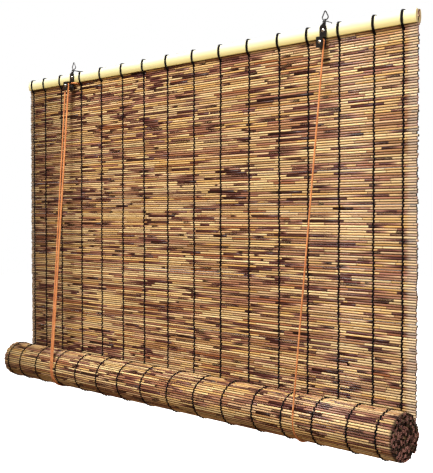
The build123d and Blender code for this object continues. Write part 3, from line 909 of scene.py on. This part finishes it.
@dataclass
class BindingStrings:
    """Pairs of black strands, twined round each reed, wrapped over the head and carried round the roll."""

    layout: Layout
    hanging: HangingReeds
    rolled: RolledReeds
    names: Sequence[str] = tuple(f"binding_string_{number:02d}" for number in range(1, 17))
    strand_radius: float = 0.00178
    strand_steps: int = 2
    twine_depth: float = 0.0047
    twine_width: float = 0.0018
    wander: float = 0.0009
    wander_length: float = 0.11
    ripple: float = 0.6
    ripple_rate: float = 2.3
    phase_shifts: Span = (71.0, 13.0)
    wrap_side: float = 0.0009
    wrap_rise: float = 0.0012
    wrap_edge: float = 0.0069
    wrap_low: float = 0.22
    wrap_high: float = 0.2
    wrap_bulge: float = 0.4
    wrap_crest: float = 1.6
    wrap_tuck: Span = (0.45, 0.2)
    free_reeds: int = 2
    hidden_rise: float = 0.0162
    roll_turn: float = math.radians(338)

    def __post_init__(self) -> None:
        """Read where each string is, and make the string's finish."""
        self.places = [sum(corner.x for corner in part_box(name)) / 2 for name in self.names]
        self.yarn = YarnFinish("binding_yarn", srgb(14, 11, 12), srgb(4, 3, 4), 0.02).build()

    def sway(self, place: float, height: float) -> float:
        """Return where a string is at a height, with its small wander off the straight line.

        Args:
            place: The string's X without the wander.
            height: The height.

        Returns:
            The string's X there.
        """
        slow_shift, quick_shift = self.phase_shifts
        phase = place * slow_shift + height * math.tau / self.wander_length
        ripple = self.ripple * math.sin(self.ripple_rate * phase + place * quick_shift)
        return place + self.wander * (math.sin(phase) + ripple) / (1 + self.ripple)

    def mat_points(self, place: float, hand: int, numbers: Sequence[int]) -> List[Vector]:
        """Return a strand's points up the mat, in front of every other reed and behind the rest.

        Args:
            place: The string's X.
            hand: 1 or -1, for the two strands of a pair.
            numbers: The reeds to pass, in order.

        Returns:
            The points.
        """
        points = []
        for number in numbers:
            height = self.hanging.height(number)
            face = hand if number % 2 else -hand
            if height < self.layout.roll_z + self.hidden_rise:
                face = max(face, 0)
            x = self.sway(place, height)
            points.append(Vector((x, self.layout.mat_y + face * self.twine_depth, height)))
            cross = Vector((x + hand * self.twine_width, self.layout.mat_y, height + self.hanging.pitch / 2))
            points.append(cross)
        return points

    def wrap_points(self, place: float, hand: int) -> List[Vector]:
        """Return a strand's points up the front of the head, over its top and down its back.

        Args:
            place: The string's X.
            hand: 1 or -1, for the two strands of a pair.

        Returns:
            The points.
        """
        layout = self.layout
        middle, low, high = layout.mat_y, layout.head_bottom, layout.head_top
        height, edge, rise = high - low, self.wrap_edge, self.wrap_rise
        front, back = layout.head_front_y - rise, layout.head_back_y + rise
        lower, centre, upper = low + height * self.wrap_low, low + height / 2, high - height * self.wrap_high
        bulge, crest = rise * self.wrap_bulge, high + rise * self.wrap_crest
        tuck_in, tuck_down = self.wrap_tuck
        outline = (
            (middle - edge - rise, low - rise),
            (front, lower),
            (front - bulge, centre),
            (front, upper),
            (middle - edge - rise, crest),
            (middle, high + rise),
            (middle + edge + rise, crest),
            (back, upper),
            (back + bulge, centre),
            (back, lower),
            (middle + edge, low - rise),
            (middle + edge * tuck_in, low - height * tuck_down),
        )
        x = self.sway(place, low)
        return [Vector((x + hand * self.wrap_side, y, z)) for y, z in outline]

    def roll_points(self, place: float, hand: int) -> List[Vector]:
        """Return a strand's points round the roll's outer turn.

        Args:
            place: The string's X.
            hand: 1 or -1, for the two strands of a pair.

        Returns:
            The points.
        """
        points = []
        angles = [angle for angle in self.rolled.angles if angle < self.roll_turn]
        for number, angle in enumerate(angles):
            face = hand if number % 2 else -hand
            x = self.sway(place, self.rolled.outer_radius * angle)
            points.append(self.rolled.point(angle, face * self.twine_depth) + Vector((x, 0, 0)))
            half_step = self.rolled.pitch / self.rolled.radius(angle) / 2
            cross = Vector((x + hand * self.twine_width, 0, 0))
            points.append(self.rolled.point(angle + half_step) + cross)
        return points

    def weave(self, name: str, lines: Iterable[List[Vector]], body: str, nodes: Iterable[str]) -> Piece:
        """Add strands as one piece of thin tubes.

        Args:
            name: The piece's name.
            lines: The points of each strand.
            body: The CAD body that it rides on.
            nodes: The CAD nodes that it stands for.

        Returns:
            The piece.
        """
        mesh = spline_mesh(name, lines, self.strand_steps, self.strand_radius)
        mesh.name = name
        mesh.materials.clear()
        mesh.shade_smooth()
        return add_piece(name, mesh, [self.yarn], body, nodes)

    def build(self) -> None:
        """Weave the strings of the mat's two bands and of the roll."""
        numbers = range(self.hanging.count)
        first_free = next(n for n in numbers if self.hanging.height(n) < self.layout.head_bottom)
        upwards = numbers[::-1]
        upper = [n for n in upwards if self.hanging.band(n) is Band.UPPER]
        upper = [n for n in upper if n >= first_free + self.free_reeds]
        lower = [n for n in upwards if self.hanging.band(n) is Band.LOWER]
        hands = (-1, 1)
        pairs = [(place, hand) for place in self.places for hand in hands]
        lines = [self.mat_points(*pair, upper) + self.wrap_points(*pair) for pair in pairs]
        self.weave("strings_upper", lines, "head", self.names)
        half = len(self.names) // 2
        for side, group in ((Side.LEFT, slice(0, half)), (Side.RIGHT, slice(half, None))):
            lines = [self.mat_points(place, hand, lower) for place in self.places[group] for hand in hands]
            piece = self.weave(f"strings_lower_{side.value}", lines, "head", self.names[group])
            self.layout.take_up(piece, self.layout.split_z, self.layout.lift)
        lines = [self.roll_points(*pair) for pair in pairs]
        self.weave("strings_rolled", lines, "roll", ["roll_strings"])


@dataclass
class LiftCords:
    """The tan lift cords and their tails, over the wheels, down both faces of the mat and under the roll."""

    layout: Layout
    diameter: float = 0.0035
    lap_radius: float = 0.0068
    back_reach: float = 0.0488
    low_reach: float = 0.0469
    front_reach: float = 0.046
    bight_rise: float = math.radians(20)
    spacing: float = 0.0039
    inset: float = 0.012
    end_gap: float = 0.0006
    cross_offset: float = 0.0137
    cross_y: float = 0.01805
    from_edge: float = 0.021
    lay_length: float = 0.011
    ring_spacing: float = 0.0014
    fewest_steps: int = 6
    most_steps: int = 1000
    knot_sides: int = 10
    knot_steps: int = 24
    knot_lean: float = 0.12
    lobes: Sequence[float] = (0.84, 1.03, 1.03) * 3

    def __post_init__(self) -> None:
        """Read where the wheels are, and make the cord's finish."""
        self.yarn = YarnFinish("lift_cord_yarn", srgb(232, 160, 100), srgb(184, 104, 56), 0.25).build()
        self.wheels = {
            name: sum(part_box(name), Vector()) / 2
            for name in ("pulley_wheel_left_front", "pulley_wheel_left_back", "pulley_wheel_right")
        }

    def spline_line(self, route: Sequence[Vector]) -> List[Vector]:
        """Return the points of a route's smooth line.

        Args:
            route: The route's control points.

        Returns:
            Close points along its NURBS spline.
        """
        steps = round(run_length(route) / (len(route) - 2) / self.ring_spacing)
        mesh = spline_mesh("cord_route", [route], min(self.most_steps, max(self.fewest_steps, steps)))
        line = [vert.co.copy() for vert in mesh.vertices]
        bpy.data.meshes.remove(mesh)
        return line

    def twist(self, name: str, line: Sequence[Vector]) -> Mesh:
        """Make a three-strand cord along a line, as one lobed tube that turns as it goes.

        Args:
            name: The mesh's name.
            line: The points that it follows.

        Returns:
            The cord's mesh.
        """
        shape = bmesh.new()
        number = shape.verts.layers.int.new("lobe")
        ring = bmesh.ops.create_circle(shape, segments=len(self.lobes), radius=1.0)["verts"]
        for index, vert in enumerate(ring):
            vert[number] = index
        edges = shape.edges[:]
        ends = [edges]
        run = 0.0
        across = (line[1] - line[0]).orthogonal().normalized()
        for index, centre in enumerate(line):
            ahead = (line[min(index + 1, len(line) - 1)] - line[max(index - 1, 0)]).normalized()
            across = (across - ahead * across.dot(ahead)).normalized()
            beside = ahead.cross(across)
            if index:
                run += (centre - line[index - 1]).length
                made = bmesh.ops.extrude_edge_only(shape, edges=edges)["geom"]
                ring = [item for item in made if isinstance(item, bmesh.types.BMVert)]
                new = set(ring)
                sides = [item for item in made if isinstance(item, bmesh.types.BMEdge)]
                edges = [edge for edge in sides if new.issuperset(edge.verts)]
            for vert in ring:
                angle = math.tau * (vert[number] / len(self.lobes) + run / self.lay_length)
                reach = self.diameter / 2 * self.lobes[vert[number]]
                vert.co = centre + (across * math.cos(angle) + beside * math.sin(angle)) * reach
        ends.append(edges)
        for face in shape.faces:
            face.smooth = True
        for end in ends:
            bmesh.ops.edgeloop_fill(shape, edges=end)
        bmesh.ops.recalc_face_normals(shape, faces=shape.faces)
        return mesh_from(shape, name)

    def add_cord(self, name: str, route: Sequence[Vector], body: str) -> Tuple[Piece, List[Vector]]:
        """Add a stretch of cord for the node of the same name, and return it and the points it follows."""
        line = self.spline_line(route)
        return add_piece(f"{name}_rope", self.twist(name, line), [self.yarn], body, [name]), line

    def strand(
        self, name: str, top: Vector, roll_x: float, knot: Vector
    ) -> None:
        """Build one strand: its front run, the bight under the roll and its back run.

        Args:
            name: The strand's name.
            top: Where it leaves its wheel.
            roll_x: The X where it passes under the roll.
            knot: Where it meets its knot.
        """
        layout = self.layout
        corner = self.low_reach * math.tan(math.pi / 8)
        y, z = layout.roll_y, layout.roll_z
        front = Vector((0, -math.cos(self.bight_rise), math.sin(self.bight_rise))) * self.front_reach
        front += Vector((roll_x, y, z))
        back = Vector((roll_x, y + self.back_reach, z))
        bight_route = (
            back,
            Vector((roll_x, y + self.back_reach, z - corner)),
            Vector((roll_x, y + corner, z - self.low_reach)),
            Vector((roll_x, y - corner, z - self.low_reach)),
            Vector((roll_x, y - self.front_reach, z - corner)),
            front,
        )
        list(self.add_cord(f"{name}_bight", bight_route, "carriage"))
        for end, start, finish in (("front", top, front), ("back", knot, back)):
            gap = (finish - start).normalized() * self.end_gap
            route = (start + gap, start + (finish - start).normalized() * self.from_edge, finish - gap)
            piece, line = self.add_cord(f"{name}_{end}", route, "head")
            layout.take_up(piece, line[0].z, line[0].z - line[-1].z)

    def knot(self, side: Side) -> Vector:
        """Build a knot as turns of cord side by side.

        Args:
            side: The side that it is on.

        Returns:
            The middle of its lower side.
        """
        name = f"knot_{side.value}"
        low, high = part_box(name)
        middle = (low + high) / 2
        turns = max(2, round((high.x - low.x) / self.diameter))
        reach = (high.z - low.z) / 2 - self.diameter / 2
        pitch = (high.x - low.x - self.diameter) / (turns - 1)
        shape = bmesh.new()
        for turn in range(turns):
            place = Vector((low.x + self.diameter / 2 + turn * pitch, middle.y, middle.z))
            circle = bmesh.ops.create_circle(shape, segments=self.knot_sides, radius=self.diameter / 2)
            ring = circle["verts"]
            bmesh.ops.translate(shape, verts=ring, vec=place + Vector((0, reach, 0)))
            edges = list({edge for vert in ring for edge in vert.link_edges})
            bmesh.ops.spin(
                shape,
                geom=edges,
                cent=place,
                axis=(1, 0, self.knot_lean),
                angle=math.tau,
                steps=self.knot_steps,
                use_merge=True,
            )
        bmesh.ops.remove_doubles(shape, verts=shape.verts, dist=MERGE_DISTANCE)
        bmesh.ops.recalc_face_normals(shape, faces=shape.faces)
        for face in shape.faces:
            face.smooth = True
        add_piece(f"{name}_turns", mesh_from(shape, name), [self.yarn], "head", [name])
        return Vector((middle.x, middle.y, low.z))

    def build(self) -> None:
        """Build the knots, the laps over the wheels, the crossing behind the mat and the four strands."""
        lap = self.lap_radius
        sideways = Vector((lap, 0, 0))
        up = Vector((0, 0, lap))
        left_front = self.wheels["pulley_wheel_left_front"]
        left_back = self.wheels["pulley_wheel_left_back"]
        right = self.wheels["pulley_wheel_right"]
        knots = {side: self.knot(side) for side in Side}
        lap_route = (
            left_front - sideways,
            left_front - sideways + up,
            left_front + sideways + up,
            left_front + sideways,
        )
        over_wheel, _ = self.add_cord("cord_left_over_wheel", lap_route, "head")

        right_turn = Vector((right.x - self.cross_offset, right.y, right.z + lap))
        left_turn = Vector((left_back.x + self.cross_offset, left_back.y, left_back.z + lap))
        right_behind = Vector((right_turn.x, self.cross_y, right_turn.z))
        left_behind = Vector((left_turn.x, self.cross_y, left_turn.z))
        inwards = Vector((self.from_edge, 0, 0))
        cross_route = (
            right + sideways,
            right + sideways + up,
            right_turn,
            right_behind,
            right_behind - inwards,
            left_behind + inwards,
            left_behind,
            left_turn,
            left_back - sideways + up,
            left_back - sideways,
        )
        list(self.add_cord("cord_right_crossing", cross_route, "head"))

        step = Vector((self.spacing, 0, 0))
        left_knot, right_knot = knots[Side.LEFT], knots[Side.RIGHT]
        left_x, right_x = left_front.x + self.inset, right.x - self.inset
        self.strand("cord_left", left_front - sideways, left_x - self.spacing, left_knot - step)
        self.strand("right_tail", left_back - sideways, left_x, left_knot)
        self.strand("left_tail", left_front + sideways, left_x + self.spacing, left_knot + step)
        self.strand("cord_right", right + sideways, right_x, right_knot)


@dataclass
class Hardware:
    """The head slats, hangers, pulleys, rivets and tie wires, which keep their CAD shapes."""

    layout: Layout

    def build(self) -> None:
        """Give each CAD node its finish."""
        layout = self.layout
        bamboo = SplitBambooFinish(layout.head_bottom, layout.head_top, layout.half_width).build()
        steel = MetalFinish(
            "black_steel", srgb(22, 22, 24), srgb(44, 42, 42), metallic=0.2, smooth=0.24, rough=0.5, coat=0.4
        ).build()
        bright = MetalFinish(
            "rivet_steel", srgb(226, 226, 224), srgb(188, 186, 182), metallic=1.0, smooth=0.16, rough=0.36
        ).build()
        wire = MetalFinish(
            "tie_wire", srgb(58, 57, 58), srgb(92, 88, 84), metallic=0.7, smooth=0.35, rough=0.6
        ).build()
        plastic = MouldedFinish("wheel_plastic", srgb(40, 40, 45), srgb(24, 24, 28)).build()
        finishes = {
            "head_slat": bamboo,
            "hanger_loop": steel,
            "hanger_strap": steel,
            "pulley_housing": steel,
            "strap_rivet": bright,
            "axle_rivet": bright,
            "tie_wire": wire,
            "pulley_wheel": plastic,
        }
        for name, node in frame["nodes"].items():
            for start, material in finishes.items():
                if name.startswith(start):
                    node.data.materials.clear()
                    node.data.materials.append(material)
                    LOG.info("%s: finish %s", name, material.name)


@dataclass
class Studio:
    """A white room with soft lights, and the camera at the photograph's place."""

    layout: Layout
    camera_place: Triple = (1.3825, -1.3300, -0.3934)
    azimuth: float = math.radians(43.744)
    pitch: float = math.radians(-1.429)
    focal_pixels: float = 845.09
    sensor: float = 36.0
    clip: Span = (0.01, 100.0)
    floor_drop: float = 0.95
    floor_size: float = 30.0
    floor_cuts: int = 8
    floor_glow: float = 1.4
    sky_light: Colour = (0.19, 0.175, 0.155, 1.0)
    sky_from: float = 0.6
    ground_light: Colour = (0.3, 0.185, 0.1, 1.0)

    def camera(self) -> None:
        """Make the camera and set it as the scene's."""
        data = bpy.data.cameras.new("photo_camera")
        data.sensor_fit = "AUTO"
        data.sensor_width = self.sensor
        data.lens = self.focal_pixels / IMAGE_LONG_SIDE * self.sensor
        data.clip_start, data.clip_end = self.clip
        camera = linked("photo_camera", data)
        level = math.cos(self.pitch)
        ahead = Vector((-math.sin(self.azimuth) * level, math.cos(self.azimuth) * level, 0))
        ahead.z = math.sin(self.pitch)
        camera.location = self.camera_place
        camera.rotation_euler = ahead.to_track_quat("-Z", "Y").to_euler()
        bpy.context.scene.camera = camera

    def light(self, name: str, place: Triple, size: float, power: float, colour: Triple) -> None:
        """Add one soft light that faces the middle of the blind.

        Args:
            name: The light's name.
            place: Where it stands.
            size: The side of its square.
            power: Its power in watts.
            colour: Its colour.
        """
        data = bpy.data.lights.new(name, "AREA")
        data.size = size
        data.energy = power
        data.color = colour
        lamp = linked(name, data)
        lamp.location = place
        target = Vector((0, self.layout.mat_y, self.layout.roll_z / 2))
        lamp.rotation_euler = (target - lamp.location).to_track_quat("-Z", "Y").to_euler()

    def floor(self) -> None:
        """Lay the pale floor."""
        shape = bmesh.new()
        cuts = self.floor_cuts
        bmesh.ops.create_grid(shape, x_segments=cuts, y_segments=cuts, size=self.floor_size / 2)
        bmesh.ops.translate(shape, verts=shape.verts, vec=(0, 0, self.layout.roll_z - self.floor_drop))
        floor = linked("floor", mesh_from(shape, "floor"))
        graph = Graph("pale_floor")
        place, _ = graph.place()
        tone = graph.mix(graph.noise(place, 3.0), srgb(250, 250, 249), srgb(246, 246, 245))
        material = graph.finish(
            Base_Color=tone, Roughness=0.9, Emission_Color=WHITE, Emission_Strength=self.floor_glow
        )
        floor.data.materials.append(material)
        floor.visible_diffuse = False
        floor.visible_glossy = False

    def world(self) -> None:
        """Make the world white to look at, and as a light soft from above and dim from below."""
        graph = Graph("white_room", world=True)
        direction = graph.node("ShaderNodeTexCoord").outputs["Generated"]
        height = graph.node("ShaderNodeSeparateXYZ", {0: direction}).outputs["Z"]
        light = graph.ramp(height, ((0.0, self.ground_light), (self.sky_from, self.sky_light)))
        seen = graph.node("ShaderNodeLightPath").outputs["Is Camera Ray"]
        bpy.context.scene.world = graph.finish(Color=graph.mix(seen, light, WHITE))

    def build(self) -> None:
        """Clear what Blender starts with, then set up the room, the lights and the camera."""
        for name in ("Cube", "Light", "Camera"):
            if name in bpy.data.objects:
                bpy.data.objects.remove(bpy.data.objects[name])
        bpy.context.scene.view_settings.view_transform = "Standard"
        self.world()
        self.floor()
        self.light("key", (0.7, -2.2, 3.2), size=1.2, power=335.0, colour=(1.0, 0.98, 0.96))
        self.light("fill", (3.2, -1.8, 0.2), size=1.6, power=34.0, colour=(1.0, 0.97, 0.95))
        self.light("back_fill", (-1.0, 2.6, 2.6), size=1.8, power=110.0, colour=(1.0, 0.99, 0.97))
        self.camera()


def main() -> None:
    """Build the studio and each sub-assembly in order."""
    logging.basicConfig(level=logging.INFO, format="%(name)s: %(message)s")
    layout = Layout.from_frame()
    Studio(layout).build()
    LiftCords(layout).build()
    stock = ReedStock(2 * layout.half_width)
    hanging = HangingReeds(layout, stock)
    hanging.build()
    rolled = RolledReeds(layout, stock)
    rolled.build()
    BindingStrings(layout, hanging, rolled).build()
    Hardware(layout).build()


if __name__ == "__main__":
    main()
